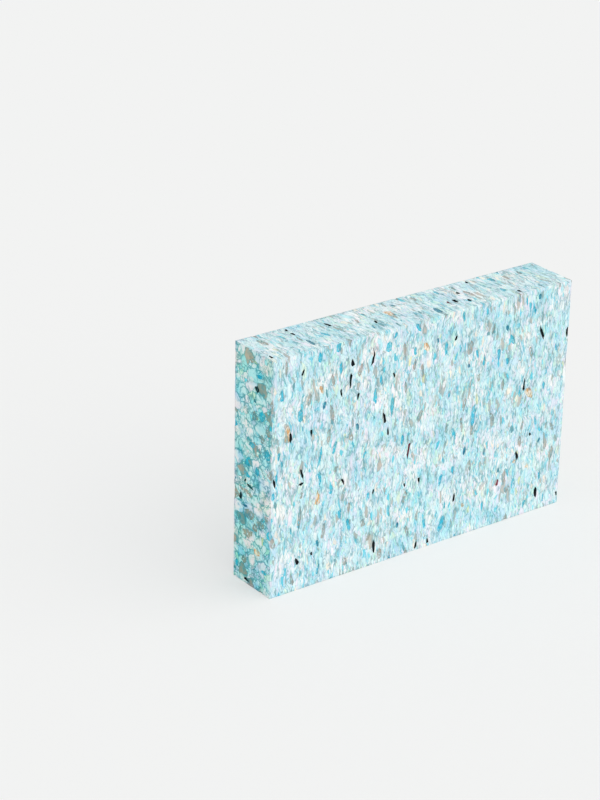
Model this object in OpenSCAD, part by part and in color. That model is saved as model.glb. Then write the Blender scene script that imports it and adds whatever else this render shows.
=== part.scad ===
// Support block of bonded chip foam.
//
// Shredded foam offcuts are glued together, pressed flat along the length of the
// block and sawn to size. Every chip lies flat across the length, so the broad
// sides and the long edges cut the chips into slivers, and the short ends cut
// them into round blobs. The pale chips run together into one ground. Each
// stronger coloured foam springs back by its own amount behind the saw, and
// stays a few tenths of a millimetre below the sawn face.
//
// The block stands on a long edge: X runs along it, Y through it and Z upwards.
// The origin is the centre of the base.

/* [Block] */
// Length of the block
block_length = 305; // [150:1:450]
// Thickness of the block between its broad sides
block_thickness = 50; // [25:1:120]
// Height of the block as it stands on a long edge
block_height = 205; // [100:1:300]

/* [Chips] */
// Thickness of a pressed chip, along the block
chip_thickness = 2.6; // [1.5:0.1:6]
// Width of a pressed chip, across the block
chip_width = 10; // [5:0.5:14]
// Spacing of the scattered chips along the block
pitch_along = 20; // [12:1:40]
// Spacing of the scattered chips across the block
pitch_across = 20; // [15:1:40]
// Spacing of the scattered chips on the ends
pitch_on_ends = 16; // [12:1:40]
// Spacing of the chips that the edges of the block cut through
pitch_on_edges = 36; // [20:1:60]
// Greatest lean of a scattered chip, in degrees
chip_lean = 16; // [0:1:30]
// Greatest share by which scattered chips differ in size
size_spread = 0.3; // [0:0.05:0.5]
// Greatest share by which the corners of a chip stand out or draw in
corner_wobble = 0.35; // [0:0.05:0.5]
// Corners of the outline of a chip
chip_corners = 6; // [5:1:8]
// Seed of the scatter
scatter_seed = 4; // [1:1:99]

/* [Depth of the cut chips] */
// Depth of the white chips below the sawn face
white_depth = 0.15; // [0.05:0.05:1]
// Depth of the sky blue chips
sky_depth = 0.25; // [0.05:0.05:1]
// Depth of the teal chips
teal_depth = 0.3; // [0.05:0.05:1]
// Depth of the taupe chips
taupe_depth = 0.35; // [0.05:0.05:1]
// Depth of the amber chips
amber_depth = 0.2; // [0.05:0.05:1]
// Depth of the dark red chips
red_depth = 0.4; // [0.05:0.05:1]
// Depth of the black chips
black_depth = 0.45; // [0.05:0.05:1]

/* [Hidden] */

// How far a cutting solid reaches past the face that it cuts
past_face = 1;
// Directions of the corners of a chip, from the one at its upper tip, and how far
// the widest of them stands out to the side
CORNER_TURNS = [for (i = [0 : chip_corners - 1]) 90 + i * 360 / chip_corners];
WIDEST_CORNER = max([for (turn = CORNER_TURNS) cos(turn)]);
// Width at which the saw cuts a round chip on the ends, as a share of its full width
end_cut = 0.8;
// Colour of the pale foams that run together into the ground
ground_colour = [0.80, 0.92, 0.93];
// Steps of the scatter's seed from one face, column and row to the next
FACE_SEEDS = [7, 31, 1009];
// Steps of the seed from one axis, side, other side and chip of an edge to the next
EDGE_SEEDS = [211, 401, 601, 11];

// Foam kinds: colour, depth, share of the scattered chips, and the thickness
// and the width of its chips as shares of an ordinary chip's
WHITE = 0;
SKY = 1;
TEAL = 2;
TAUPE = 3;
AMBER = 4;
RED = 5;
BLACK = 6;
KINDS = [
    [[0.94, 0.97, 0.97], white_depth, 0.20, 1.3, 0.9],
    [[0.36, 0.77, 0.87], sky_depth,   0.25, 0.9, 0.9],
    [[0.22, 0.62, 0.68], teal_depth,  0.07, 0.8, 0.6],
    [[0.67, 0.64, 0.60], taupe_depth, 0.34, 1.2, 1.0],
    [[0.95, 0.74, 0.48], amber_depth, 0.04, 1.1, 0.6],
    [[0.50, 0.14, 0.22], red_depth,   0.01, 0.5, 0.6],
    [[0.07, 0.08, 0.09], black_depth, 0.09, 0.8, 0.6],
];
function kind_colour(kind) = KINDS[kind][0];
function kind_depth(kind) = KINDS[kind][1];
function kind_share(kind) = KINDS[kind][2];
function kind_size(kind) = [chip_thickness * KINDS[kind][3], chip_width * KINDS[kind][4]];

// Faces: turn, corner where the face's own axes start, extent along those axes,
// and whether the first axis runs along the block. The second axis never does.
FRONT = 0;
TOP = 1;
LEFT_END = 2;
FACES = [
    [[90, 0, 0], [-block_length / 2, -block_thickness / 2, 0], [block_length, block_height], true],
    [[0, 0, 0], [-block_length / 2, -block_thickness / 2, block_height],
        [block_length, block_thickness], true],
    [[90, 0, -90], [-block_length / 2, block_thickness / 2, 0], [block_thickness, block_height], false],
    [[90, 0, 180], [block_length / 2, block_thickness / 2, 0], [block_length, block_height], true],
    [[180, 0, 0], [-block_length / 2, block_thickness / 2, 0], [block_length, block_thickness], true],
    [[90, 0, 90], [block_length / 2, -block_thickness / 2, 0], [block_thickness, block_height], false],
];
function face_extent(face) = FACES[face][2];
function face_runs_along(face) = FACES[face][3];

// Chips that stand out: face, kind, place on the face's axes, size along them,
// lean to the right, and bow to the right
STRIKING_CHIPS = [
    [FRONT, BLACK, [96.3, 185], [2, 14], 12, 2],  [FRONT, BLACK, [75.6, 172], [2.4, 14], 5, 0],
    [FRONT, BLACK, [76.8, 185], [3.8, 6], 0, 0],    [FRONT, BLACK, [29, 189], [2.1, 7], 15, 0],
    [FRONT, BLACK, [66.4, 163], [2.1, 8], -14, 0],  [FRONT, BLACK, [83.4, 155], [2, 7], 8, 0],
    [FRONT, BLACK, [17.8, 137], [2.7, 9], 0, 0.5],    [FRONT, BLACK, [38, 136], [2.2, 6], 0, 0],
    [FRONT, BLACK, [119, 165], [2.4, 5], -8, 0],    [FRONT, BLACK, [110.4, 129], [1.9, 11], -10, 1],
    [FRONT, BLACK, [115, 116], [2.2, 8], -3, 0],    [FRONT, BLACK, [275, 165], [3.1, 12], -17, 0],
    [FRONT, BLACK, [258, 122], [2.4, 15], 4, 0.5],  [FRONT, BLACK, [29.6, 103], [2.2, 10], -15, 0],
    [FRONT, BLACK, [70.2, 85], [2.3, 7], -22, 0.4], [FRONT, BLACK, [26.3, 26], [2.7, 8], -26, 0],
    [FRONT, BLACK, [104, 16], [2.3, 11], -5, 0],    [FRONT, BLACK, [255, 58], [2.6, 8], -10, 0],
    [FRONT, BLACK, [279, 17], [2.7, 9], -5, 0],     [FRONT, BLACK, [182, 182], [2.3, 5], 10, 0],
    [FRONT, BLACK, [303.6, 160], [3.6, 9], 0, 0],   [FRONT, BLACK, [3, 100], [2.5, 10], -12, 0],
    [FRONT, BLACK, [269, 74], [2.6, 3], -30, 0],    [FRONT, BLACK, [149, 64], [1.9, 5], -6, 0],
    [FRONT, BLACK, [303.4, 9], [2.4, 6], 0, 0],     [FRONT, BLACK, [148.6, 5], [2.1, 8], 8, 0],
    [FRONT, BLACK, [187.4, 37], [2.1, 7], 4, 0],    [FRONT, BLACK, [102, 67], [1.9, 5], 12, 0],
    [FRONT, BLACK, [134, 64], [1.8, 4], -20, 0],    [FRONT, BLACK, [161, 5], [2, 5], -4, 0],
    [FRONT, BLACK, [29, 93.5], [4.2, 2.6], 0, 0],   [FRONT, BLACK, [40.6, 28.6], [1.8, 4], 0, 0],
    [FRONT, RED, [137, 95], [1.9, 15], 4, 0],       [FRONT, RED, [235, 38.5], [2.2, 8], 18, 0],
    [FRONT, AMBER, [15.5, 139], [5, 14], -2, -0.5], [FRONT, AMBER, [264, 114], [6, 13], -32, 0],
    [FRONT, AMBER, [45.3, 76], [4.6, 15], 0, 0.5],  [FRONT, AMBER, [151, 181], [4.2, 9], -28, 0],
    [FRONT, AMBER, [253, 53], [3.4, 4], 30, 0],     [FRONT, AMBER, [197.4, 27.5], [3.2, 5], -20, 0],
    [FRONT, AMBER, [267, 45], [3.2, 4], 0, 0],      [FRONT, AMBER, [47, 170], [2.6, 8], -20, 0],
    [FRONT, WHITE, [274, 139], [5, 12], 8, 0],      [FRONT, SKY, [27, 152], [3.8, 11], 0, 0],
    [FRONT, SKY, [9, 174], [2.6, 13], 0, 0],        [FRONT, SKY, [47, 113], [2.8, 18], 12, 0.5],
    [FRONT, SKY, [61, 116], [3.2, 16], 8, 0],       [FRONT, SKY, [113, 191], [4.8, 10], 8, 0],
    [FRONT, SKY, [118, 139], [3.2, 18], 0, 0],      [FRONT, SKY, [47, 94], [3.2, 12], 0, 0],
    [FRONT, SKY, [59, 81], [3.4, 11], -8, 0],       [FRONT, SKY, [204, 107], [4.2, 19], 8, 0],
    [FRONT, SKY, [229, 157], [3.4, 13], 0, 0],      [FRONT, SKY, [175, 17], [4, 14], 18, 0],
    [FRONT, SKY, [243, 167], [3.2, 8], -20, 0],     [FRONT, SKY, [63, 202], [3.6, 9], 0, 0],
    [FRONT, SKY, [142.5, 200], [3, 9], -35, 0],     [FRONT, SKY, [254, 117], [3, 10], 0, 0],
    [FRONT, SKY, [156, 23], [2.8, 10], -5, 0],      [FRONT, SKY, [119, 199], [2.8, 6], 20, 0],
    [FRONT, SKY, [45, 197], [2.8, 9], -5, 0],       [FRONT, SKY, [172, 175], [2.8, 12], 4, 0],
    [FRONT, SKY, [238, 148], [3, 8], -6, 0],        [FRONT, SKY, [184, 97], [3, 9], -8, 0],
    [FRONT, SKY, [97, 64], [2.8, 9], -8, 0],        [FRONT, SKY, [5, 105], [2.6, 8], 0, 0],
    [FRONT, SKY, [292, 147.5], [2.4, 7], -10, 0],   [FRONT, SKY, [211.6, 35], [2.4, 7], -25, 0],
    [FRONT, SKY, [219, 20], [2.6, 9], 0, 0],        [FRONT, SKY, [282, 32], [2.6, 9], 6, 0],
    [FRONT, SKY, [68, 56], [2.8, 9], 4, 0],         [FRONT, SKY, [140, 180], [2.8, 8], 4, 0],
    [FRONT, SKY, [213, 155], [2.2, 11], 0, 0],      [FRONT, SKY, [184.6, 64], [2.4, 8], 0, 0],
    [FRONT, SKY, [118, 44], [2.2, 11], -8, 0],      [FRONT, SKY, [2, 90], [3, 8], 0, 0],
    [FRONT, SKY, [189, 199], [2.4, 9], -5, 0],      [FRONT, TEAL, [237, 178], [3.2, 5], 0, 0],
    [FRONT, TEAL, [46, 37], [2, 7], -15, 0],        [FRONT, TEAL, [271, 198], [2.8, 5], -12, 0],
    [FRONT, TEAL, [197, 154], [2.2, 4], 0, 0],      [FRONT, TEAL, [128, 29], [2.2, 5], 0, 0],
    [FRONT, TEAL, [163, 184], [2.2, 4], 0, 0],      [FRONT, TAUPE, [57.6, 147], [3.6, 13], -12, 0],
    [FRONT, TAUPE, [55.5, 128], [3.4, 12], 6, 0],   [FRONT, TAUPE, [129, 183], [2.8, 17], -3, 0],
    [FRONT, TAUPE, [197, 169], [5.4, 12], 8, 0],    [FRONT, TAUPE, [28, 64], [3.4, 15], 5, 0],
    [FRONT, TAUPE, [52, 45], [3.8, 17], 4, 0],      [FRONT, TAUPE, [203, 62], [3, 12], -5, 0],
    [FRONT, TAUPE, [242, 41], [4.2, 13], 5, 0],     [FRONT, TAUPE, [110, 8], [4.4, 12], 0, 0],
    [FRONT, TAUPE, [148, 162], [3, 12], -6, 0],     [FRONT, TAUPE, [235, 127], [3.4, 10], 6, 0],
    [FRONT, TAUPE, [131, 152], [3, 11], -5, 0],     [FRONT, TAUPE, [194, 120], [3, 11], 6, 0],
    [FRONT, TAUPE, [225, 101], [4, 11], -30, 0],    [FRONT, TAUPE, [92, 41], [4, 8], -6, 0],
    [FRONT, TAUPE, [77, 60], [3, 9], -4, 0],        [FRONT, TAUPE, [138, 21], [4, 11], -8, 0],
    [FRONT, TAUPE, [293, 75], [2.6, 11], -18, 0],   [FRONT, TAUPE, [2, 49], [4, 10], -10, 0],
    [FRONT, TAUPE, [74, 11], [4, 8], -10, 0],       [FRONT, TAUPE, [13, 196], [3, 12], 4, 0],
    [TOP, BLACK, [79, 35], [2.8, 9], -8, 0],        [TOP, BLACK, [114, 19], [2.4, 6], 20, 0],
    [TOP, BLACK, [195, 19], [3, 6], -8, 0],         [TOP, BLACK, [206, 14], [2.8, 6], 10, 0],
    [TOP, BLACK, [208, 31], [2.5, 5], 8, 0],        [TOP, BLACK, [45, 45], [2.4, 5], 0, 0],
    [TOP, BLACK, [45, 35], [2.4, 8], 0, 0],         [TOP, BLACK, [4, 8], [2.2, 8], 5, 0],
    [TOP, BLACK, [253, 6], [2.2, 5], 0, 0],         [TOP, BLACK, [229, 45], [2.2, 5], 15, 0],
    [TOP, RED, [188, 20], [2, 4], 10, 0],           [TOP, AMBER, [134, 26], [6, 18], 6, 0],
    [TOP, SKY, [250, 38], [4, 9], 0, 0],            [TOP, SKY, [244, 16], [3, 7], 0, 0],
    [TOP, TEAL, [170, 10], [4, 11], 0, 0],          [TOP, TEAL, [46, 14], [2.6, 12], 0, 0],
    [TOP, TAUPE, [215, 25], [4, 14], -5, 0],        [TOP, TAUPE, [280, 38], [2.6, 8], 5, 0],
    [TOP, TAUPE, [43, 24], [2.6, 10], 5, 0],        [TOP, TAUPE, [211, 43], [3, 8], 0, 0],
    [LEFT_END, BLACK, [30, 174], [5.4, 5], 0, 0],   [LEFT_END, BLACK, [22, 88], [7.5, 3], 5, 0],
    [LEFT_END, BLACK, [9, 75], [3.4, 6], 10, 0],    [LEFT_END, BLACK, [15, 91], [3, 3], 0, 0],
    [LEFT_END, BLACK, [18, 4], [5.4, 4], 0, 0],     [LEFT_END, AMBER, [32, 34], [6, 6], 0, 0],
    [LEFT_END, WHITE, [38, 195], [11, 10], 0, 0],   [LEFT_END, WHITE, [22, 180], [8, 6], 0, 0],
    [LEFT_END, WHITE, [38, 86], [10, 8], 0, 0],     [LEFT_END, WHITE, [26, 22], [6, 9], 0, 0],
    [LEFT_END, SKY, [37, 154], [10, 8], 0, 0],      [LEFT_END, SKY, [24, 125], [9, 6], 0, 0],
    [LEFT_END, SKY, [33, 186], [8, 4], -10, 0],     [LEFT_END, SKY, [17, 97], [8, 4], 20, 0],
    [LEFT_END, SKY, [41, 20], [8, 4], 0, 0],        [LEFT_END, SKY, [5, 13], [4, 7], 0, 0],
    [LEFT_END, TEAL, [27, 164], [4, 3], 0, 0],      [LEFT_END, TEAL, [15, 69], [6, 3], 0, 0],
    [LEFT_END, TAUPE, [21, 63], [11, 9], 0, 0],     [LEFT_END, TAUPE, [20, 46], [13, 8], -10, 0],
    [LEFT_END, TAUPE, [22, 197], [6, 5], 0, 0],     [LEFT_END, TAUPE, [45, 145], [5, 9], 0, 0],
    [LEFT_END, TAUPE, [37, 134], [7, 7], 0, 0],     [LEFT_END, TAUPE, [14, 82], [11, 5], 0, 0],
    [LEFT_END, TAUPE, [44, 68], [5, 7], 0, 0],      [LEFT_END, TAUPE, [14, 21], [6, 7], 0, 0],
];

// Whole slab, or what is left of it below a skin of the given thickness
module slab(skin = 0) {
    translate([skin - block_length / 2, skin - block_thickness / 2, skin])
        cube([block_length, block_thickness, block_height] - 2 * skin * [1, 1, 1]);
}

// Puts its children on a face, with the face's own axes as X and Y and +Z outwards
module on_face(face) {
    translate(FACES[face][1]) rotate(FACES[face][0]) children();
}

// Cut of one chip into the face that it is put on
module chip_cut(place, size, lean, bow, depth, seed) {
    reach = rands(1 - corner_wobble, 1 + corner_wobble, chip_corners, seed);
    outline = [
        for (i = [0 : chip_corners - 1])
            let (side = reach[i] * cos(CORNER_TURNS[i]) / WIDEST_CORNER,
                rise = reach[i] * sin(CORNER_TURNS[i]))
                [size[0] / 2 * side + bow * (1 - rise * rise), size[1] / 2 * rise]
    ];
    translate([place[0], place[1], -depth]) rotate(-lean)
        linear_extrude(height = depth + past_face) polygon(outline);
}

// Kind of foam that a random number from 0 to 1 stands for
function pick_kind(number, kind = WHITE) =
    number < kind_share(kind) || kind == BLACK
        ? kind
        : pick_kind(number - kind_share(kind), kind + 1);

// True where a place on a face keeps its distance from the striking chips
function is_free(face, place) =
    len([for (chip = STRIKING_CHIPS)
            if (chip[0] == face && norm(chip[2] - place) < chip_width) chip]) == 0;

// True where a face has striking chips of its own, which then are all its
// amber, red and black ones
function has_striking(face) = len([for (chip = STRIKING_CHIPS) if (chip[0] == face) chip]) > 0;

// Striking chips of one kind on a face
module striking_chips(face, kind) {
    for (i = [0 : len(STRIKING_CHIPS) - 1]) {
        chip = STRIKING_CHIPS[i];
        if (chip[0] == face && chip[1] == kind)
            chip_cut(chip[2], chip[3], chip[4], chip[5], kind_depth(kind), scatter_seed + i);
    }
}

// Scattered chips of one kind on a face, one to each cell of a loose grid.
// They keep clear of the face's edges, which have chips of their own.
module scattered_chips(face, kind) {
    pitch = face_runs_along(face) ? [pitch_along, pitch_across] : pitch_on_ends * [1, 1];
    cells = [for (axis = [0, 1]) max(1, floor(face_extent(face)[axis] / pitch[axis]))];
    for (column = [0 : cells[0] - 1], row = [0 : cells[1] - 1]) {
        seed = scatter_seed + FACE_SEEDS * [face, column, row];
        chance = rands(-1, 1, 6, seed);
        kind_here = pick_kind((chance[2] + 1) / 2);
        across = kind_size(kind_here)[1] * (face_runs_along(face) ? 1 : end_cut);
        along = face_runs_along(face) ? kind_size(kind_here)[0] : across;
        size = [along * (1 + size_spread * chance[3]), across * (1 + size_spread * chance[4])];
        lean = chip_lean * chance[5];
        reach = (1 + corner_wobble) / 2 * (size + [size[1], size[0]] * abs(sin(lean)));
        place = [
            for (axis = [0, 1])
                reach[axis] + (face_extent(face)[axis] - 2 * reach[axis])
                    * ([column, row][axis] + (1 + chance[axis]) / 2) / cells[axis]
        ];
        is_listed = kind >= AMBER && has_striking(face);
        if (kind_here == kind && is_free(face, place) && !is_listed)
            chip_cut(place, size, lean, 0, kind_depth(kind), seed);
    }
}

// Whole chip, pressed flat along X, with its middle at the origin
module whole_chip(size, seed) {
    reach = rands(1 - corner_wobble, 1 + corner_wobble, 4, seed) / 2;
    polyhedron(
        [[-size[0] / 2, 0, 0], [size[0] / 2, 0, 0],
            [0, size[1] * reach[0], 0], [0, 0, size[1] * reach[1]],
            [0, -size[1] * reach[2], 0], [0, 0, -size[1] * reach[3]]],
        [for (i = [0 : 3]) each [[0, 2 + i, 2 + (i + 1) % 4], [1, 2 + (i + 1) % 4, 2 + i]]]);
}

// Chips of one kind with their middles on the twelve edges of the slab
module edge_chips(kind) {
    extent = [block_length, block_thickness, block_height];
    for (axis = [0 : 2], side_a = [0, 1], side_b = [0, 1]) {
        steps = max(1, floor((extent[axis] - 2 * chip_width) / pitch_on_edges));
        for (step = [0 : steps - 1]) {
            seed = scatter_seed + EDGE_SEEDS * [axis, side_a, side_b, step];
            chance = rands(0, 1, 3, seed);
            run = chip_width + (extent[axis] - 2 * chip_width) * (step + chance[0]) / steps;
            place = axis == 0 ? [run, side_a * extent[1], side_b * extent[2]]
                : axis == 1 ? [side_a * extent[0], run, side_b * extent[2]]
                : [side_a * extent[0], side_b * extent[1], run];
            if (pick_kind(chance[1]) == kind)
                translate(place - [extent[0], extent[1], 0] / 2)
                    whole_chip(kind_size(kind) * (1 + size_spread * (2 * chance[2] - 1)), seed);
        }
    }
}

// Slab with its stronger coloured chips cut back behind its faces
module foam_block() {
    difference() {
        color(ground_colour) slab();
        for (kind = [WHITE : BLACK]) color(kind_colour(kind)) {
            for (face = [0 : len(FACES) - 1]) on_face(face) {
                striking_chips(face, kind);
                scattered_chips(face, kind);
            }
            if (kind < AMBER) difference() {
                edge_chips(kind);
                slab(kind_depth(kind));
            }
        }
    }
}

foam_block();
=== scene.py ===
"""A support block of bonded chip foam, dressed for a plain studio.

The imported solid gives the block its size, its sawn faces and the pockets of its
strongly coloured chips. This script gives a copy of it a fine mesh, lets the sawn
surface stand a little uneven, and colours it chip by chip: the chips are discs
pressed flat across the length of the block, so the broad sides and the long edges
show their thin sides and the short ends show them round.
"""

import logging
from dataclasses import dataclass
from enum import IntEnum
from math import pi, radians
from typing import Mapping, Sequence, Union

import bmesh
import bpy
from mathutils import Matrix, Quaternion, Vector


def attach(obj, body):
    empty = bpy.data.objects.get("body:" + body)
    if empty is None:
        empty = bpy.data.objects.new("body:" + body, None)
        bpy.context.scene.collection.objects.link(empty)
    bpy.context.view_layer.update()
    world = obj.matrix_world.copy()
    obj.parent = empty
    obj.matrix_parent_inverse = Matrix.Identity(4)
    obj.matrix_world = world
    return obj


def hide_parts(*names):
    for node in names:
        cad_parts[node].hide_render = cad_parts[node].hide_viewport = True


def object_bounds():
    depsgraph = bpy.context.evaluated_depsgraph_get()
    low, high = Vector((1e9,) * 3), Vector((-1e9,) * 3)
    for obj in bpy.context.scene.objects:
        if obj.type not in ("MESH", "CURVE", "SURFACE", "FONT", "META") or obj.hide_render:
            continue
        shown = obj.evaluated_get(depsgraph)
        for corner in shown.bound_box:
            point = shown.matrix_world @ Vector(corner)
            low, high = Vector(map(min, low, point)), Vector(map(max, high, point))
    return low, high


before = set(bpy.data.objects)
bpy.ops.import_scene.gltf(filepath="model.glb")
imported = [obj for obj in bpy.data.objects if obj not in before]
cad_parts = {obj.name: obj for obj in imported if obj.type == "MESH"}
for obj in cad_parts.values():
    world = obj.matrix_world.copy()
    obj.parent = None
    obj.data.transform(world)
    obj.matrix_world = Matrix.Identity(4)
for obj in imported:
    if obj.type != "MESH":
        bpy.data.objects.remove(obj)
CAD_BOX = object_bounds()

MM = 0.001
BLOCK_NODE = "foam_block"
ROOT_BODY = "root"
KIND_LAYER = "foam_kind"
END_LAYER = "on_end"
FLAT_LAYER = "on_flat"

Triple = tuple[float, float, float]
Colour = Triple
Palette = tuple[tuple[float, Colour], ...]
Operand = Union["Wire", float, Sequence[float]]

log = logging.getLogger("foam_block")


class Wire:
    """An output of a node, on which Python's operators add Math and Vector Math nodes."""

    def __init__(self, graph: "Graph", socket: bpy.types.NodeSocket) -> None:
        """Wraps a socket.

        Args:
            graph: The graph that the socket's node belongs to.
            socket: The output socket.
        """
        self.graph = graph
        self.socket = socket

    @property
    def is_vector(self) -> bool:
        """Whether the socket carries three numbers."""
        return self.socket.type in {"VECTOR", "RGBA"}

    def _math(self, operation: str, first: Operand, second: Operand) -> "Wire":
        """Adds the node of one operation.

        Args:
            operation: Name of the operation, the same for numbers and vectors.
            first: Left operand.
            second: Right operand.

        Returns:
            The result of the operation.
        """
        if has_parts(first) or has_parts(second):
            sockets = {"Vector": spread(first), "Vector_001": spread(second)}
            return self.graph.add("ShaderNodeVectorMath", {"operation": operation}, sockets)["Vector"]
        sockets = {"Value": first, "Value_001": second}
        return self.graph.add("ShaderNodeMath", {"operation": operation}, sockets)["Value"]

    def __add__(self, other: Operand) -> "Wire":
        """Adds."""
        return self._math("ADD", self, other)

    __radd__ = __add__

    def __sub__(self, other: Operand) -> "Wire":
        """Subtracts."""
        return self._math("SUBTRACT", self, other)

    def __rsub__(self, other: Operand) -> "Wire":
        """Subtracts from a number or a vector."""
        return self._math("SUBTRACT", other, self)

    def __mul__(self, other: Operand) -> "Wire":
        """Multiplies, part by part for vectors."""
        return self._math("MULTIPLY", self, other)

    __rmul__ = __mul__

    def __truediv__(self, other: Operand) -> "Wire":
        """Divides, part by part for vectors."""
        return self._math("DIVIDE", self, other)

    def most(self, other: Operand) -> "Wire":
        """Takes the larger of the two, part by part for vectors."""
        return self._math("MAXIMUM", self, other)

    def least(self, other: Operand) -> "Wire":
        """Takes the smaller of the two, part by part for vectors."""
        return self._math("MINIMUM", self, other)

    def below(self, limit: Operand) -> "Wire":
        """Gives 1 where the number is under the limit, and 0 elsewhere."""
        return self._math("LESS_THAN", self, limit)

    def size(self) -> "Wire":
        """Takes the number or the parts of the vector without their signs."""
        return self._single("ABSOLUTE")

    def sign(self) -> "Wire":
        """Takes only the sign, as -1, 0 or 1."""
        return self._single("SIGN")

    def _single(self, operation: str) -> "Wire":
        """Adds the node of an operation on one operand.

        Args:
            operation: Name of the operation.

        Returns:
            The result of the operation.
        """
        kind, name = ("VectorMath", "Vector") if self.is_vector else ("Math", "Value")
        return self.graph.add(f"ShaderNode{kind}", {"operation": operation}, {name: self})[name]

    def eased(self, start: float, end: float) -> "Wire":
        """Rises smoothly from 0 to 1.

        Args:
            start: Number at which the result leaves 0.
            end: Number at which the result reaches 1.

        Returns:
            The eased number.
        """
        sockets = {"Value": self, "From Min": start, "From Max": end}
        settings = {"interpolation_type": "SMOOTHSTEP", "clamp": True}
        return self.graph.add("ShaderNodeMapRange", settings, sockets)["Result"]

    def part(self, axis: str) -> "Wire":
        """Takes the X, Y or Z part of a vector, or of a colour."""
        return self.graph.add("ShaderNodeSeparateXYZ", {}, {"Vector": self})[axis]

    def swing(self) -> "Wire":
        """Moves noise, which lies round 0.5, so that it lies round 0."""
        return self - 0.5


def has_parts(value: Operand) -> bool:
    """Tells a vector, a colour or a wire that carries one from a plain number."""
    return value.is_vector if isinstance(value, Wire) else not isinstance(value, (int, float))


def spread(value: Operand) -> Operand:
    """Turns a plain number into three equal ones, and leaves anything else as it is."""
    return (value,) * 3 if isinstance(value, (int, float)) else value


class Graph:
    """A shader or geometry node tree that is written as Python expressions."""

    def __init__(self, tree: bpy.types.NodeTree) -> None:
        """Starts from an empty tree.

        Args:
            tree: The node tree, whose nodes are removed.
        """
        tree.nodes.clear()
        self.tree = tree

    def add(
        self,
        kind: str,
        settings: Mapping[str, object],
        sockets: Mapping[str, Operand],
    ) -> dict[str, Wire]:
        """Adds a node.

        Args:
            kind: Type of the node.
            settings: Properties that are set before the sockets; "stops" holds the
                places and colours of a ramp.
            sockets: Values or links of the inputs, by identifier.

        Returns:
            The outputs of the node, by identifier.
        """
        node = self.tree.nodes.new(kind)
        for name, value in settings.items():
            if name == "stops":
                self._set_stops(node.color_ramp, value)
            else:
                setattr(node, name, value)
        inputs = {socket.identifier: socket for socket in node.inputs}
        for name, value in sockets.items():
            if isinstance(value, Wire):
                self.tree.links.new(value.socket, inputs[name])
            else:
                inputs[name].default_value = value
        return {socket.identifier: Wire(self, socket) for socket in node.outputs}

    @staticmethod
    def _set_stops(ramp: bpy.types.ColorRamp, stops: Sequence[tuple[float, Colour]]) -> None:
        """Gives a ramp its stops.

        Args:
            ramp: The ramp of a new node, which has two stops.
            stops: Places from 0 to 1, rising, with their colours.
        """
        ramp.interpolation = "CONSTANT"
        while len(ramp.elements) < len(stops):
            ramp.elements.new(1.0)
        for element, (place, colour) in zip(ramp.elements, stops):
            element.position = place
            element.color = (*colour, 1.0)

    def mix(self, share: Operand, first: Operand, second: Operand) -> Wire:
        """Mixes two colours.

        Args:
            share: Share of the second colour.
            first: First colour.
            second: Second colour.

        Returns:
            The mixed colour.
        """
        sockets = {
            "Factor_Float": share,
            "A_Color": opaque(first),
            "B_Color": opaque(second),
        }
        return self.add("ShaderNodeMix", {"data_type": "RGBA"}, sockets)["Result_Color"]

    def noise(self, place: Wire, grain: float, detail: float = 2.0) -> dict[str, Wire]:
        """Adds smooth noise.

        Args:
            place: Where the noise is read, in metres.
            grain: Size of its grain, in metres.
            detail: Number of finer layers.

        Returns:
            The outputs of the noise node.
        """
        return self.add("ShaderNodeTexNoise", {}, {"Vector": place, "Scale": 1 / grain, "Detail": detail})


def opaque(colour: Operand) -> Operand:
    """Gives a plain colour its fourth number, and leaves a wire as it is."""
    return colour if isinstance(colour, Wire) else (*colour, 1.0)


@dataclass(frozen=True)
class Box:
    """A box whose sides lie along the axes.

    Attributes:
        low: Lowest corner.
        high: Highest corner.
    """

    low: Vector
    high: Vector

    @property
    def middle(self) -> Vector:
        """Middle of the box."""
        return (self.low + self.high) / 2

    @property
    def half(self) -> Vector:
        """Half the size of the box."""
        return (self.high - self.low) / 2

    def centred(self, place: Wire) -> Wire:
        """Measures a place from the middle."""
        return place - tuple(self.middle)

    def room(self, place: Wire) -> Wire:
        """Measures how far a place lies inside the sides, along each axis."""
        return tuple(self.half) - self.centred(place).size()


@dataclass(frozen=True)
class Chips:
    """What one grade of chips gives at each place.

    Attributes:
        chance: Three random numbers, the same all over one chip.
        rim: Distance to the nearest seam, as a share of the chip's thickness.
    """

    chance: Wire
    rim: Wire


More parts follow.
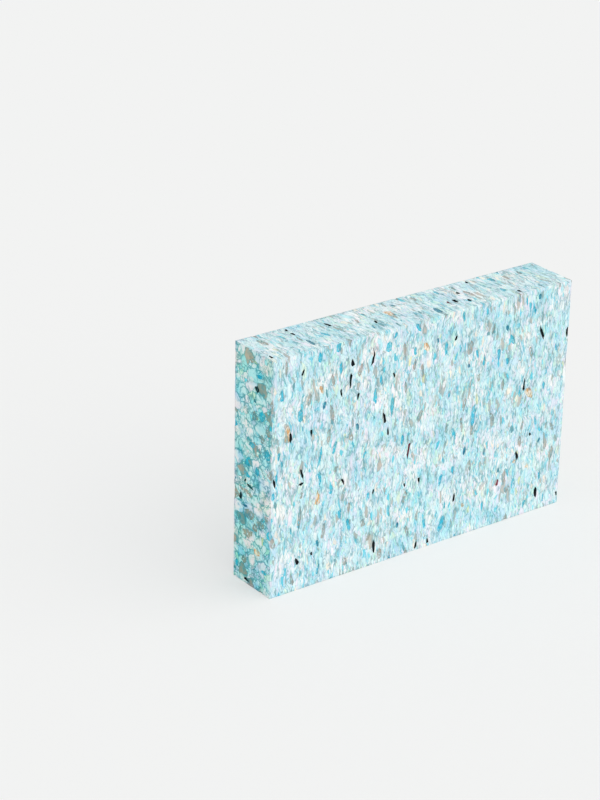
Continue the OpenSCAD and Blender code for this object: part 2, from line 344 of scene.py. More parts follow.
@dataclass(frozen=True)
class ChipGrade:
    """One grade of shredded chips, pressed flat across the length of the block.

    Attributes:
        thickness: Thickness of a chip, along the block.
        width: Width of a chip, across the block.
        share: Share of the room that this grade takes from the finer ones.
        end_share: The same share on the short ends, where the flat of the chips shows.
        shift: Shift that sets this grade apart from the others.
        palette: Shares, which add up to 1, and colours of the chips.
        dullest: Least factor by which a chip makes its colour stronger or duller.
        liveliness: How far that factor rises from there, for the liveliest chip.
    """

    thickness: float
    width: float
    share: float
    end_share: float
    shift: float
    palette: Palette
    dullest: float = 0.917
    liveliness: float = 0.16

    def lay(self, graph: Graph, place: Wire) -> Chips:
        """Fills space with chips of this grade.

        Args:
            graph: Graph that the pattern is added to.
            place: Where the pattern is read, in metres.

        Returns:
            The chips' random numbers and seams.
        """
        pressed = place / (self.thickness, self.width, self.width) + self.shift
        sockets = {"Vector": pressed, "Scale": 1.0}
        cell = graph.add("ShaderNodeTexVoronoi", {"feature": "F1"}, sockets)
        rim = graph.add("ShaderNodeTexVoronoi", {"feature": "DISTANCE_TO_EDGE"}, sockets)
        return Chips(chance=cell["Color"], rim=rim["Distance"])

    def pick(self, graph: Graph, chips: Chips) -> Wire:
        """Picks a colour for each chip.

        Args:
            graph: Graph of the material.
            chips: The chips of this grade.

        Returns:
            The picked colours, each a little duller or livelier than the palette's.
        """
        stops, start = [], 0.0
        for share, colour in self.palette:
            stops.append((start, colour))
            start += share
        picked = graph.add("ShaderNodeValToRGB", {"stops": stops}, {"Fac": chips.chance.part("X")})["Color"]
        return picked * (chips.chance.part("Y") * self.liveliness + self.dullest)


CRUMBS = ChipGrade(
    thickness=1.2 * MM,
    width=4.0 * MM,
    share=1.0,
    end_share=1.0,
    shift=0.0,
    palette=(
        (0.10, (0.52, 0.86, 0.92)),
        (0.24, (0.71, 0.94, 0.97)),
        (0.20, (0.81, 0.97, 0.97)),
        (0.15, (0.85, 0.88, 0.98)),
        (0.18, (0.70, 0.87, 0.98)),
        (0.07, (0.66, 0.96, 0.85)),
        (0.04, (0.28, 0.77, 0.88)),
        (0.02, (0.42, 0.54, 0.56)),
    ),
)
FLAKES = ChipGrade(
    thickness=2.0 * MM,
    width=6.4 * MM,
    share=0.5,
    end_share=0.7,
    shift=17.3,
    palette=(
        (0.17, (0.86, 0.97, 0.98)),
        (0.20, (0.74, 0.95, 0.97)),
        (0.09, (0.50, 0.87, 0.94)),
        (0.18, (0.85, 0.885, 0.98)),
        (0.17, (0.70, 0.88, 0.98)),
        (0.08, (0.70, 0.96, 0.86)),
        (0.034, (0.94, 0.90, 0.80)),
        (0.006, (0.80, 0.86, 0.52)),
        (0.02, (0.16, 0.68, 0.82)),
        (0.04, (0.48, 0.53, 0.50)),
        (0.01, (0.18, 0.40, 0.45)),
    ),
)
LUMPS = ChipGrade(
    thickness=3.2 * MM,
    width=11 * MM,
    share=0.12,
    end_share=0.42,
    shift=53.2,
    palette=(
        (0.25, (0.85, 0.96, 0.97)),
        (0.19, (0.84, 0.87, 0.98)),
        (0.24, (0.70, 0.93, 0.97)),
        (0.10, (0.52, 0.86, 0.93)),
        (0.04, (0.82, 0.96, 0.81)),
        (0.18, (0.52, 0.53, 0.49)),
    ),
)


@dataclass(frozen=True)
class ChipBed:
    """The bed of pressed chips that the block was sawn from.

    Attributes:
        grades: Grades of chips, from the finest to the coarsest.
        lean_grain: Distance over which the chips change their lean.
        lean_reach: How far the lean shifts the chips, along and across the block.
        ragged_grain: Size of the ragged bends in the chips' outlines.
        ragged_reach: How far they bend, along and across the block.
    """

    grades: tuple[ChipGrade, ...] = (CRUMBS, FLAKES, LUMPS)
    lean_grain: float = 16 * MM
    lean_reach: Triple = (6.5 * MM, 4 * MM, 4 * MM)
    ragged_grain: float = 3.4 * MM
    ragged_reach: Triple = (1.5 * MM, 2.6 * MM, 2.6 * MM)

    def bent(self, graph: Graph, place: Wire) -> Wire:
        """Bends straight space, so that the chips lean and their outlines are ragged.

        Args:
            graph: Graph that the pattern is added to.
            place: Straight place, in metres.

        Returns:
            The bent place.
        """
        lean = graph.noise(place, self.lean_grain, detail=1.0)["Color"].swing()
        ragged = graph.noise(place, self.ragged_grain, detail=1.0)["Color"].swing()
        return place + lean * self.lean_reach + ragged * self.ragged_reach


class FoamKind(IntEnum):
    """Kinds of foam, as the layer of the mesh numbers them."""

    GROUND = 0
    WHITE = 1
    AMBER = 2
    SKY = 3
    TEAL = 4
    TAUPE = 5
    RED = 6
    BLACK = 7


@dataclass(frozen=True)
class FoamTone:
    """Look of one kind of foam that is cut as pockets.

    Attributes:
        colour: Colour of the fresh foam.
        patch: Colour of the patches in it.
        depth: Depth of its pockets below the sawn faces, which tells its faces apart.
        dust: Share of the pale foam dust that clings to it.
    """

    colour: Colour
    patch: Colour
    depth: float
    dust: float


TONES: dict[FoamKind, FoamTone] = {
    FoamKind.WHITE: FoamTone((0.90, 0.97, 0.98), (0.91, 0.93, 0.96), 0.15 * MM, 0.6),
    FoamKind.AMBER: FoamTone((0.72, 0.42, 0.17), (0.95, 0.85, 0.69), 0.20 * MM, 0.25),
    FoamKind.SKY: FoamTone((0.04, 0.51, 0.71), (0.10, 0.63, 0.80), 0.25 * MM, 0.6),
    FoamKind.TEAL: FoamTone((0.02, 0.20, 0.34), (0.03, 0.32, 0.45), 0.30 * MM, 0.35),
    FoamKind.TAUPE: FoamTone((0.43, 0.44, 0.39), (0.48, 0.44, 0.39), 0.35 * MM, 0.9),
    FoamKind.RED: FoamTone((0.22, 0.02, 0.05), (0.12, 0.02, 0.04), 0.40 * MM, 0.1),
    FoamKind.BLACK: FoamTone((0.006, 0.007, 0.010), (0.004, 0.012, 0.014), 0.45 * MM, 0.0),
}


@dataclass(frozen=True)
class Threads:
    """Short wandering threads between the chips, which lie as the chips do.

    Attributes:
        colour: Colour of the threads.
        thickness: Distance between threads along the block.
        width: Length of their bends across the block.
        reach: Half the width of a thread, as a step of the noise that it follows.
        start: Step of the noise that breaks the threads up, over which there are any.
        most: Greatest share of their colour.
        shift: Shift that sets these threads apart from others.
        fade_in: Step of that noise over which the threads come in.
        break_grain: Grain of that noise, in times the distance and the length above.
        break_shift: Shift that sets that noise apart from the one that the threads follow.
    """

    colour: Colour
    thickness: float
    width: float
    reach: float
    start: float
    most: float
    shift: float
    fade_in: float = 0.12
    break_grain: float = 1.6
    break_shift: float = 7.7

    def share(self, graph: Graph, place: Wire) -> Wire:
        """Draws the threads.

        Args:
            graph: Graph of the material.
            place: Where the pattern is read, in metres.

        Returns:
            Share of the threads' colour, from 0 to most.
        """
        pressed = place / (self.thickness, self.width, self.width) + self.shift
        middle = graph.noise(pressed, 1.0, detail=1.0)["Fac"].swing()
        breaks = graph.noise(pressed + self.break_shift, self.break_grain, detail=0.0)["Fac"]
        shown = breaks.eased(self.start, self.start + self.fade_in)
        return (1 - middle.size().eased(0.0, self.reach)) * shown * self.most


GLUE_THREADS = Threads((0.10, 0.34, 0.40), 2.2 * MM, 8 * MM, reach=0.10, start=0.48, most=0.62, shift=0.0)
SKY_STRANDS = Threads((0.13, 0.62, 0.78), 3.0 * MM, 13 * MM, reach=0.055, start=0.56, most=0.85, shift=40.0)
TAUPE_STRANDS = Threads((0.40, 0.43, 0.38), 3.4 * MM, 12 * MM, reach=0.06, start=0.55, most=0.65, shift=80.0)


@dataclass(frozen=True)
class BondedFoam:
    """Finish of the sawn chip foam: a matt mottle of pale chips with stronger flecks.

    Attributes:
        box: Box of the block.
        bed: Bed of chips.
        threads: Threads of glue over the chips.
        strands: Thin strands of strongly coloured foam between them.
        end_strands: Share of the strands that the ends show.
        seam: Colour of the gaps between chips: glue in the joints, and painted shade in the crevices.
        seam_share: Greatest share of that colour.
        seam_reach: Width of a seam, as a share of a chip's thickness.
        fibre: Size of the finest streaks in a chip, along and across the block.
        fibre_tint: How much red, green and blue follow those streaks.
        dust_steps: Streaks between which the dust on a pocket goes from all to none.
        patch_grain: Size of the patches in a chip, along and across the block.
        patch_steps: Noise between which a pocket goes from its colour to its patches'.
        drift_grain: Distance over which the mix of chips changes.
        drift_shift: Shift that sets this change apart from other noise.
        drift_tint: How much red, green and blue follow that change together.
        hue_tint: How much each of them follows a change of its own.
        glue: Colour of the glue round the flat of the chips, which only the ends show; it also stands for
            painted shade in the crevices there.
        glue_reach: Width of the glue round a chip, as a share of a chip's thickness.
        glue_share: Greatest share of its colour there.
        glue_steps: Smearing noise between which there is none of it and all of it.
        smear_grain: Size of the smears of glue over the chips.
        smear_share: Greatest share of the glue's colour in them.
        smear_steps: Noise between which a smear goes from none to all.
        pocket_glue: Share of all this glue that the pockets show.
        end_drift: How many times stronger the ends show the change in the mix.
        end_shade_contrast: Power, over 1, that sets the flat of the chips off from each other and darkens
            them, as painted shade.
        pocket_shade_contrast: The same for the pockets.
        end_bounce_tint: Tint of the ends, painted bluish-green bounce light.
        end_rim: Distance from the long edges over which the ends take on these looks.
        ragged_rim: How far that distance wanders.
        rim_grain: Size of its bends.
        flat_light_share: Share of their own strength that the colours of the top and bottom lose to painted
            light from above.
        flat_light_tint: What is left of that strength, as a tint of the chips' lightness.
        clean: Share of dust under which no seams or threads cross a pocket.
        palest: Most that the foam may reflect of red, green and blue.
        fibre_rise: How high the streaks stand in the bump, in millimetres.
        seam_depth: How deep the seams lie in it.
        thread_depth: How deep the threads lie in it.
        bump: Strength of the bump.
        roughness: Roughness of the foam.
        gloss: Specular level of the foam.
    """

    box: Box
    bed: ChipBed
    threads: Threads = GLUE_THREADS
    strands: tuple[Threads, ...] = (SKY_STRANDS, TAUPE_STRANDS)
    end_strands: float = 0.5
    seam: Colour = (0.20, 0.49, 0.55)
    seam_share: float = 0.38
    seam_reach: float = 0.14
    fibre: Triple = (0.9 * MM, 2.8 * MM, 2.8 * MM)
    fibre_tint: Colour = (0.60, 0.34, 0.28)
    dust_steps: tuple[float, float] = (-0.11, -0.03)
    patch_grain: Triple = (1.6 * MM, 4 * MM, 4 * MM)
    patch_steps: tuple[float, float] = (0.46, 0.58)
    drift_grain: float = 22 * MM
    drift_shift: float = 3.1
    drift_tint: Colour = (0.85, 0.32, 0.14)
    hue_tint: Colour = (0.25, 0.08, 0.10)
    glue: Colour = (0.06, 0.42, 0.46)
    glue_reach: float = 0.12
    glue_share: float = 0.85
    glue_steps: tuple[float, float] = (0.38, 0.54)
    smear_grain: float = 5 * MM
    smear_share: float = 0.5
    smear_steps: tuple[float, float] = (0.56, 0.65)
    pocket_glue: float = 0.5
    end_drift: float = 2.2
    end_shade_contrast: float = 0.45
    pocket_shade_contrast: float = 0.2
    end_bounce_tint: Colour = (1.01, 1.15, 1.065)
    end_rim: float = 2.5 * MM
    ragged_rim: float = 7 * MM
    rim_grain: float = 6 * MM
    flat_light_share: float = 0.22
    flat_light_tint: Colour = (0.80, 1.06, 1.08)
    clean: float = 0.15
    palest: float = 0.98
    fibre_rise: float = 0.5
    seam_depth: float = 0.3
    thread_depth: float = 0.2
    bump: float = 0.6
    roughness: float = 0.95
    gloss: float = 0.2

    def _chips(self, graph: Graph, bent: Wire, on_end: Wire) -> tuple[Wire, Wire]:
        """Colours the chips of all grades.

        Args:
            graph: Graph of the material.
            bent: Where the chips are read, in metres, with their lean.
            on_end: 1 on the left end, a share of that on the right end, and 0 elsewhere.

        Returns:
            The colour, and the distance to the nearest seam.
        """
        finest, *coarser = self.bed.grades
        chips = finest.lay(graph, bent)
        colour, rim = finest.pick(graph, chips), chips.rim
        for grade in coarser:
            chips = grade.lay(graph, bent)
            here = chips.chance.part("Z").below(on_end * (grade.end_share - grade.share) + grade.share)
            colour = graph.mix(here, colour, grade.pick(graph, chips))
            rim = rim * (1 - here) + chips.rim * here
        for strand in self.strands:
            share = strand.share(graph, bent) * (1 - on_end * (1 - self.end_strands))
            colour = graph.mix(share, colour, strand.colour)
        return colour, rim

    @staticmethod
    def _by_kind(graph: Graph, kind: Wire, values: Mapping[FoamKind, Colour]) -> Wire:
        """Gives each kind of foam its own colour.

        Args:
            graph: Graph of the material.
            kind: Number of the kind of foam.
            values: Colour of each kind.

        Returns:
            The colour of the kind.
        """
        top = len(FoamKind)
        stops = [((number - 0.5) / top, value) for number, value in sorted(values.items())]
        return graph.add("ShaderNodeValToRGB", {"stops": stops}, {"Fac": kind / top})["Color"]

    def _pockets(self, graph: Graph, place: Wire, kind: Wire) -> Wire:
        """Colours the pockets by the kind of foam that their faces carry.

        Args:
            graph: Graph of the material.
            place: Where the pattern is read, in metres.
            kind: Number of the kind of foam.

        Returns:
            The colour of the pockets.
        """
        colour = self._by_kind(graph, kind, {number: tone.colour for number, tone in TONES.items()})
        patch = self._by_kind(graph, kind, {number: tone.patch for number, tone in TONES.items()})
        patches = graph.noise(place / self.patch_grain, 1.0, detail=1.0)["Fac"].eased(*self.patch_steps)
        return graph.mix(patches, colour, patch)

    def _inside(self, graph: Graph, place: Wire) -> Wire:
        """Measures how far a place on an end lies from its edges, which are ragged.

        Args:
            graph: Graph of the material.
            place: The place, in metres.

        Returns:
            0 at the edges, rising to 1 inside.
        """
        room = self.box.room(place)
        ragged = graph.noise(place, self.rim_grain)["Fac"].swing() * self.ragged_rim
        return (room.part("Y").least(room.part("Z")) + ragged).eased(0.0, self.end_rim)

    def _glue_and_shade_ends(self, graph: Graph, bent: Wire, ground: Wire, colour: Wire, rim: Wire) -> Wire:
        """Turns the chips' colours into those of the ends: glue round each chip, with painted shade and
        bluish-green bounce light that make the ends darker, stronger and greener.

        Args:
            graph: Graph of the material.
            bent: Where the chips are read, in metres, with their lean.
            ground: 1 outside the pockets, and 0 in them.
            colour: Colours of the chips.
            rim: Distance to the nearest seam.

        Returns:
            The colours of the ends.
        """
        smearing = graph.noise(bent, self.smear_grain, detail=3.0)["Fac"]
        smears = smearing.eased(*self.smear_steps) * self.smear_share
        rings = (1 - rim.eased(0.0, self.glue_reach)) * self.glue_share * smearing.eased(*self.glue_steps)
        glue_and_shade = smears.most(rings) * (ground * (1 - self.pocket_glue) + self.pocket_glue)
        # Painted shade: a power over 1 darkens and strengthens the ends' colours; painted bounce light: the
        # tint turns them bluish-green.
        power = ground * (self.end_shade_contrast - self.pocket_shade_contrast) + (self.pocket_shade_contrast + 1)
        sharp = graph.add("ShaderNodeGamma", {}, {"Color": colour, "Gamma": power})["Color"]
        return graph.mix(glue_and_shade, sharp * self.end_bounce_tint, self.glue)

    def _drift(self, graph: Graph, place: Wire, on_end: Wire) -> Wire:
        """Lets the mix of chips change slowly over the block.

        Args:
            graph: Graph of the material.
            place: Where the pattern is read, in metres.
            on_end: 1 on the left end, a share of that on the right end, and 0 elsewhere.

        Returns:
            The change of red, green and blue, round 0.
        """
        mixed = graph.noise(place + self.drift_shift, self.drift_grain, detail=1.0)
        drift = mixed["Fac"].swing() * self.drift_tint + mixed["Color"].swing() * self.hue_tint
        return drift * (on_end * (self.end_drift - 1) + 1)

    def _paint_flat_light(self, graph: Graph, colour: Wire, on_flat: Wire) -> Wire:
        """Paints light on the top and the bottom: their colours turn greyer and a little greener and bluer,
        as light from above tints the top.

        Args:
            graph: Graph of the material.
            colour: Colours of the whole surface.
            on_flat: 1 on the top and the bottom, and 0 elsewhere.

        Returns:
            The colours, with painted light on the top and the bottom.
        """
        lightness = graph.add("ShaderNodeRGBToBW", {}, {"Color": colour})["Val"]
        plain = graph.add("ShaderNodeCombineXYZ", {}, {axis: lightness for axis in "XYZ"})["Vector"]
        return graph.mix(on_flat * self.flat_light_share, colour, plain * self.flat_light_tint)

    def make(self) -> bpy.types.Material:
        """Makes the material.

        Returns:
            The material of the foam.
        """
        material = bpy.data.materials.new("bonded_foam")
        material.use_nodes = True
        graph = Graph(material.node_tree)
        place = graph.add("ShaderNodeTexCoord", {}, {})["Object"]
        bent = self.bed.bent(graph, place)
        kind, on_end, on_flat = (
            graph.add("ShaderNodeAttribute", {"attribute_name": layer}, {})["Fac"]
            for layer in (KIND_LAYER, END_LAYER, FLAT_LAYER)
        )
        ground = kind.below(FoamKind.WHITE / 2)
        fibre = graph.noise(place / self.fibre, 1.0)["Fac"].swing()
        dusts = {number: (tone.dust,) * 3 for number, tone in TONES.items()}
        dust = self._by_kind(graph, kind, dusts).part("X")
        bare = 1 - dust * (1 - fibre.eased(*self.dust_steps))
        lined = 1 - dust.below(self.clean)

        colour, rim = self._chips(graph, bent, on_end)
        colour = graph.mix((1 - ground) * bare, colour, self._pockets(graph, place, kind))
        # Seams: glue in the joints between chips, and painted shade in the crevices.
        seam = (1 - rim.eased(0.0, self.seam_reach)) * self.seam_share * lined
        colour = graph.mix(seam, colour, self.seam)
        thread = self.threads.share(graph, bent) * lined
        colour = graph.mix(thread, colour, self.threads.colour)
        # The ends take their own look: glue round the flat of the chips, with painted shade and bluish-green
        # bounce light, in full on the left end.
        glue_and_shade = self._glue_and_shade_ends(graph, bent, ground, colour, rim)
        colour = graph.mix(on_end * self._inside(graph, place), colour, glue_and_shade)
        colour = colour * (fibre * self.fibre_tint + 1) * (self._drift(graph, place, on_end) + 1)
        # Painted light: the top and bottom are greyed, as light from above tints the top; the bottom takes
        # the same.
        colour = self._paint_flat_light(graph, colour, on_flat).least(self.palest)

        height = fibre * self.fibre_rise - seam * self.seam_depth - thread * self.thread_depth
        bumped = graph.add("ShaderNodeBump", {}, {"Height": height, "Distance": MM, "Strength": self.bump})
        sockets = {
            "Base Color": colour,
            "Roughness": self.roughness,
            "Specular IOR Level": self.gloss,
            "Normal": bumped["Normal"],
        }
        surface = graph.add("ShaderNodeBsdfPrincipled", {}, sockets)["BSDF"]
        graph.add("ShaderNodeOutputMaterial", {}, {"Surface": surface})
        return material


@dataclass(frozen=True)
class SawnSurface:
    """Uneven surface that the saw leaves: chips spring back a little, and outlines wander.

    Attributes:
        box: Box of the block.
        bed: Bed of chips, whose levels the surface follows.
        level_reach: How far a whole chip may lie below its neighbours.
        level_rim: Width of its sloping rim, as a share of the chip's thickness.
        hollow: Depth of the slow hollows of a hand-fed cut.
        hollow_grain: Size of those hollows.
        wander: How far outlines wander within a face.
        wander_grain: Size of their bends.
        skin: Distance from a face over which a point counts as lying in it.
    """

    box: Box
    bed: ChipBed
    level_reach: float = 0.12 * MM
    level_rim: float = 0.4
    hollow: float = 0.2 * MM
    hollow_grain: float = 40 * MM
    wander: float = 1.8 * MM
    wander_grain: float = 4 * MM
    skin: float = 2 * MM

    def make(self) -> bpy.types.NodeTree:
        """Makes the geometry node tree.

        Returns:
            The tree, with one geometry in and one out.
        """
        tree = bpy.data.node_groups.new("sawn_surface", "GeometryNodeTree")
        tree.interface.new_socket("Geometry", in_out="INPUT", socket_type="NodeSocketGeometry")
        tree.interface.new_socket("Geometry", in_out="OUTPUT", socket_type="NodeSocketGeometry")
        graph = Graph(tree)
        mesh = next(iter(graph.add("NodeGroupInput", {}, {}).values()))
        place = graph.add("GeometryNodeInputPosition", {}, {})["Position"]
        near = (1 - self.box.room(place) / self.skin).most(0.0).least(1.0)
        outward = self.box.centred(place).sign()
        flakes = FLAKES.lay(graph, self.bed.bent(graph, place))
        level = flakes.chance.part("Y") * flakes.rim.eased(0.0, self.level_rim) * self.level_reach
        hollow = graph.noise(place, self.hollow_grain, detail=1.0)["Fac"] * self.hollow
        wander = graph.noise(place, self.wander_grain, detail=1.0)["Color"].swing() * self.wander
        offset = wander * (1 - near) - outward * near * (level + hollow)
        sockets = {"Geometry": mesh, "Offset": offset}
        moved = graph.add("GeometryNodeSetPosition", {}, sockets)["Geometry"]
        output = tree.nodes.new("NodeGroupOutput")
        tree.links.new(moved.socket, output.inputs[0])
        return tree


@dataclass(frozen=True)
class MapSide:
    """One face of the block on the map.

    Attributes:
        outward: Direction in which the face looks.
        upward: Direction on it that runs up the map.
        level: Distance of the face from the middle of the block.
        middle: Place of its own middle on the map.
    """

    outward: Vector
    upward: Vector
    level: float
    middle: tuple[float, float]

    def depth(self, place: Vector) -> float:
        """Gives how far a place, measured from the middle of the block, lies below the face."""
        return self.level - place.dot(self.outward)

    def drawn(self, place: Vector) -> tuple[float, float]:
        """Gives where a place, measured from the middle of the block, lies on the map."""
        rightward = self.upward.cross(self.outward)
        return self.middle[0] + place.dot(rightward), self.middle[1] + place.dot(self.upward)


@dataclass(frozen=True)
class FaceMap:
    """Map of the surface: the six faces of the block side by side, each as seen from outside.

    The walls of the pockets stand square to the faces. So the floor of a pocket is drawn in
    a little on the map, which leaves its walls a width there.

    Attributes:
        box: Box of the block.
        name: Name of the map.
        gap: Distance between the faces on the map.
        draw_in: How far the floor of a pocket is drawn in.
        level_slack: Depth under which a corner counts as lying in a face.
        skin: Depth within which a part of the surface belongs to a face.
    """

    box: Box
    name: str = "OFBake"
    gap: float = 2 * MM
    draw_in: float = 0.4 * MM
    level_slack: float = 0.05 * MM
    skin: float = 0.6 * MM

    def _lay_out(self) -> tuple[list[MapSide], tuple[float, float]]:
        """Lays out the faces: the broad ones at the left, then the long edges, then the ends.

        Returns:
            The faces, and the width and the height of the map.
        """
        length, thickness, height = self.box.half * 2
        broad = self.gap + length / 2
        top, bottom, ends = (
            broad + length / 2 + (self.gap + thickness) * count - thickness / 2 for count in (1, 2, 3)
        )
        lower = self.gap + height / 2
        upper = lower + height + self.gap
        size = (ends + thickness / 2 + self.gap, upper + height / 2 + self.gap)
        along, through, up = (Vector(axis) for axis in ((1, 0, 0), (0, 1, 0), (0, 0, 1)))
        sides = [
            MapSide(-through, up, thickness / 2, (broad, lower)),
            MapSide(through, up, thickness / 2, (broad, upper)),
            MapSide(up, along, height / 2, (top, size[1] / 2)),
            MapSide(-up, along, height / 2, (bottom, size[1] / 2)),
            MapSide(-along, up, length / 2, (ends, lower)),
            MapSide(along, up, length / 2, (ends, upper)),
        ]
        return sides, size

    def draw(self, piece: bpy.types.Object) -> None:
        """Draws the map of a piece that still has the exact shape of the solid.

        Args:
            piece: The piece.
        """
        mesh = piece.data
        centre = self.box.middle
        sides, (width, height) = self._lay_out()
        places = []
        for face in mesh.polygons:
            near = [side for side in sides if side.depth(face.center - centre) < self.skin]
            side = max(near, key=lambda candidate: face.normal.dot(candidate.outward))
            for corner in face.vertices:
                place = mesh.vertices[corner].co - centre
                if side.depth(place) > self.level_slack:
                    place += mesh.vertices[corner].normal * self.draw_in
                across, upwards = side.drawn(place)
                places += [across / width, upwards / height]
        mesh.uv_layers.new(name=self.name).uv.foreach_set("vector", places)


def clear_selection() -> None:
    """Deselects every object, in object mode."""
    bpy.ops.object.select_all(action="DESELECT")


def take(piece: bpy.types.Object) -> None:
    """Makes a piece the only selected and the active object."""
    clear_selection()
    piece.select_set(True)
    bpy.context.view_layer.objects.active = piece


@dataclass
class FoamBlock:
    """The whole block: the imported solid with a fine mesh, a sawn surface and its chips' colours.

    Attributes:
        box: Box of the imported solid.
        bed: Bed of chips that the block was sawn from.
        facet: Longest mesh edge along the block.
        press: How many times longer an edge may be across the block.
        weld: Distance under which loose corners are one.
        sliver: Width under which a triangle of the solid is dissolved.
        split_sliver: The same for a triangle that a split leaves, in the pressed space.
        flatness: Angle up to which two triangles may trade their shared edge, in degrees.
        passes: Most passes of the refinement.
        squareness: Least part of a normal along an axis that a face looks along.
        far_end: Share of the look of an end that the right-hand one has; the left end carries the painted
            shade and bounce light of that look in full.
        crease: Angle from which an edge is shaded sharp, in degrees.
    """

    box: Box
    bed: ChipBed = ChipBed()
    facet: float = 1.55 * MM
    press: float = 3.0
    weld: float = 0.005 * MM
    sliver: float = 0.02 * MM
    split_sliver: float = 0.01 * MM
    flatness: float = 0.5
    passes: int = 8
    squareness: float = 0.9
    far_end: float = 0.6
    crease: float = 35.0

    def build(self) -> bpy.types.Object:
        """Builds and dresses the block.

        Returns:
            The finished piece.
        """
        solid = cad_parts[BLOCK_NODE]
        clear_selection()
        piece = bpy.data.objects.new("bonded_foam_block", solid.data.copy())
        bpy.context.scene.collection.objects.link(piece)
        take(piece)
        self._weld()
        self._mark_sides(piece)
        self._mark_kinds(piece)
        self._refine(piece)
        FaceMap(self.box).draw(piece)
        self._saw(piece)
        self._dress(piece)
        return piece

    def _weld(self) -> None:
        """Welds the loose triangles of the active piece into one closed mesh without slivers."""
        bpy.ops.object.mode_set(mode="EDIT")
        bpy.ops.mesh.select_all(action="SELECT")
        bpy.ops.mesh.remove_doubles(threshold=self.weld)
        bpy.ops.mesh.dissolve_degenerate(threshold=self.sliver)
        bpy.ops.mesh.quads_convert_to_tris()
        bpy.ops.object.mode_set(mode="OBJECT")

    def _mark_sides(self, piece: bpy.types.Object) -> None:
        """Writes into layers which faces look along the block, and which up or down.

        Args:
            piece: The welded piece.
        """
        mesh = piece.data
        for name, axis in ((END_LAYER, 0), (FLAT_LAYER, 2)):
            layer = mesh.attributes.new(name, "FLOAT", "FACE")
            for face in mesh.polygons:
                looks_along = abs(face.normal[axis]) > self.squareness
                # The right end gets only a share of the end look, so less of its painted shade and bounce
                # light.
                is_far_end = name == END_LAYER and face.normal.x > 0
                layer.data[face.index].value = looks_along * (self.far_end if is_far_end else 1.0)

    def _mark_kinds(self, piece: bpy.types.Object) -> None:
        """Writes the kind of foam of each face into a layer, told from the face's depth.

        Args:
            piece: The welded piece, still in the exact shape of the solid.
        """
        mesh = piece.data
        low, high = self.box.low, self.box.high
        depths = [
            min(min(corner.co[axis] - low[axis], high[axis] - corner.co[axis]) for axis in range(3))
            for corner in mesh.vertices
        ]
        layer = mesh.attributes.new(KIND_LAYER, "FLOAT", "FACE")
        for face in mesh.polygons:
            depth = max(depths[corner] for corner in face.vertices)
            kinds = [(abs(tone.depth - depth), kind) for kind, tone in TONES.items()]
            nearest = min([(depth, FoamKind.GROUND), *kinds])[1]
            layer.data[face.index].value = float(nearest)

    def _refine(self, piece: bpy.types.Object) -> None:
        """Splits long edges until the mesh is fine enough, and dissolves the slivers it leaves.

        It works in a space that is pressed across the block, where the chips are round.

        Args:
            piece: The welded piece.
        """
        bpy.ops.object.mode_set(mode="EDIT")
        self._press(1 / self.press)
        for _ in range(self.passes):
            if not self._select_long_edges(piece):
                break
            bpy.ops.mesh.subdivide(number_cuts=1)
            bpy.ops.mesh.select_all(action="SELECT")
            bpy.ops.mesh.quads_convert_to_tris()
            bpy.ops.mesh.beautify_fill(angle_limit=radians(self.flatness))
            bpy.ops.mesh.dissolve_degenerate(threshold=self.split_sliver)
        self._press(self.press)
        bpy.ops.object.mode_set(mode="OBJECT")

    @staticmethod
    def _press(share: float) -> None:
        """Scales the mesh in edit mode across the block, and not along it.

        Args:
            share: Share of the size across the block that is left.
        """
        bpy.ops.mesh.select_all(action="SELECT")
        bpy.ops.transform.resize(value=(1.0, share, share), center_override=(0.0, 0.0, 0.0))

    def _select_long_edges(self, piece: bpy.types.Object) -> int:
        """Selects the edges that are longer than a facet.

        Args:
            piece: The piece, in edit mode.

        Returns:
            How many edges are selected.
        """
        bpy.ops.mesh.select_all(action="DESELECT")
        bpy.ops.mesh.select_mode(type="EDGE")
        mesh = bmesh.from_edit_mesh(piece.data)
        long_edges = [edge for edge in mesh.edges if edge.calc_length() > self.facet]
        for edge in long_edges:
            edge.select_set(True)
        bmesh.update_edit_mesh(piece.data)
        return len(long_edges)

    def _saw(self, piece: bpy.types.Object) -> None:
        """Gives the piece its uneven sawn surface.

        Args:
            piece: The refined piece.
        """
        bpy.ops.object.modifier_add(type="NODES")
        modifier = piece.modifiers[-1]
        modifier.node_group = SawnSurface(self.box, self.bed).make()
        bpy.ops.object.modifier_apply(modifier=modifier.name)

    def _dress(self, piece: bpy.types.Object) -> None:
        """Shades the piece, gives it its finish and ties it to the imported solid.

        Args:
            piece: The finished mesh.
        """
        bpy.ops.object.shade_smooth_by_angle(angle=radians(self.crease))
        piece.data.materials.clear()
        piece.data.materials.append(BondedFoam(self.box, self.bed).make())
        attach(piece, ROOT_BODY)
        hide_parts(BLOCK_NODE)


@dataclass(frozen=True)
class SoftLight:
    """A wide soft light from one side, as strong on the floor far off as on the block.

    Attributes:
        name: Name of the light.
        side: Direction from the block to the light.
        spread: Angle that the light fills, in degrees.
        strength: Strength of the light on a face that looks straight at it.
    """

    name: str
    side: Triple
    spread: float
    strength: float

    def hang(self) -> None:
        """Hangs the light."""
        bpy.ops.object.light_add(type="SUN", location=self.side)
        light = bpy.context.object
        light.name = self.name
        light.rotation_mode = "QUATERNION"
        light.rotation_quaternion = Vector(self.side).to_track_quat("Z", "Y")
        light.data.angle = radians(self.spread)
        light.data.energy = self.strength * pi


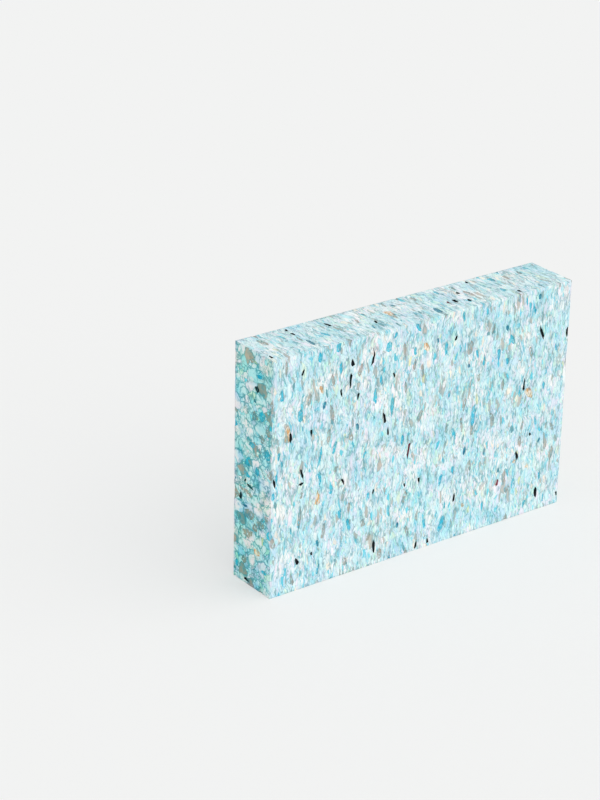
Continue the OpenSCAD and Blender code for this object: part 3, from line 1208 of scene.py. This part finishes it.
@dataclass(frozen=True)
class Studio:
    """Plain pale floor, soft lamps and an even white room.

    Attributes:
        floor_width: Width of the floor.
        floor_colour: Colour of the floor.
        floor_glow: Share of that colour which shadows leave as it is where it is seen.
        room_light: Strength of the even light of the room.
        room_colour: Colour of the room where the camera sees it.
        lamps: The lamps.
    """

    floor_width: float = 30.0
    floor_colour: Colour = (0.90, 0.905, 0.90)
    floor_glow: float = 0.5
    room_light: float = 0.67
    room_colour: Colour = (0.90, 0.90, 0.90)
    lamps: tuple[SoftLight, ...] = (SoftLight("key_light", (0.33, -0.60, 0.73), 80, 0.42),)

    def build(self) -> None:
        """Builds the floor, the lamps and the room."""
        clear_selection()
        self._lay_floor()
        for lamp in self.lamps:
            lamp.hang()
        self._light_room()
        bpy.context.scene.view_settings.view_transform = "Standard"

    @staticmethod
    def _seen(graph: Graph) -> Wire:
        """Gives 1 where the camera, a reflection or a view through glass meets the surface.

        Args:
            graph: Graph of the floor or the room.

        Returns:
            1 there, and 0 for the light that falls on the block.
        """
        ray = graph.add("ShaderNodeLightPath", {}, {})
        return ray["Is Camera Ray"].most(ray["Is Glossy Ray"]).most(ray["Is Transmission Ray"])

    def _lay_floor(self) -> None:
        """Lays the floor under the block."""
        bpy.ops.mesh.primitive_plane_add(size=self.floor_width)
        floor = bpy.context.object
        floor.name = "studio_floor"
        material = bpy.data.materials.new("floor_paint")
        material.use_nodes = True
        graph = Graph(material.node_tree)
        colour = opaque(self.floor_colour)
        paint = graph.add("ShaderNodeBsdfDiffuse", {}, {"Color": colour})["BSDF"]
        glow = graph.add("ShaderNodeEmission", {}, {"Color": colour, "Strength": 1.0})["Emission"]
        share = self._seen(graph) * self.floor_glow
        both = graph.add("ShaderNodeMixShader", {}, {"Fac": share, "Shader": paint, "Shader_001": glow})
        graph.add("ShaderNodeOutputMaterial", {}, {"Surface": both["Shader"]})
        floor.data.materials.append(material)

    def _light_room(self) -> None:
        """Lights the room evenly, and shows it pale to the camera and in reflections."""
        world = bpy.data.worlds.new("room")
        bpy.context.scene.world = world
        world.use_nodes = True
        graph = Graph(world.node_tree)
        light = (self.room_light,) * 3
        colour = graph.mix(self._seen(graph), light, self.room_colour)
        glow = graph.add("ShaderNodeBackground", {}, {"Color": colour})["Background"]
        graph.add("ShaderNodeOutputWorld", {}, {"Surface": glow})


@dataclass(frozen=True)
class Viewpoint:
    """Camera that looks down at the block from its front left.

    Attributes:
        place: Where the camera stands.
        direction: Direction in which it looks.
        roll: How far its right side is raised, in degrees.
        lens: Focal length, in millimetres on a sensor 36 mm long.
    """

    place: Triple = (-1.146, -1.3828, 0.9267)
    direction: Triple = (0.5481, 0.7298, -0.4086)
    roll: float = 1.15
    lens: float = 108.7

    def build(self) -> None:
        """Adds the camera and makes it the scene's own."""
        clear_selection()
        bpy.ops.object.camera_add(location=self.place)
        camera = bpy.context.object
        camera.name = "viewpoint"
        camera.rotation_mode = "QUATERNION"
        level = Vector(self.direction).to_track_quat("-Z", "Y")
        camera.rotation_quaternion = level @ Quaternion((0, 0, 1), radians(self.roll))
        camera.data.lens = self.lens
        bpy.context.scene.camera = camera


def main() -> None:
    """Builds the block, the studio and the camera."""
    logging.basicConfig(level=logging.INFO, format="%(message)s")
    Viewpoint().build()
    piece = FoamBlock(Box(*CAD_BOX)).build()
    log.info("%s: %d faces", piece.name, len(piece.data.polygons))
    Studio().build()
    log.info("studio: floor, lamps and room")


if __name__ == "__main__":
    main()
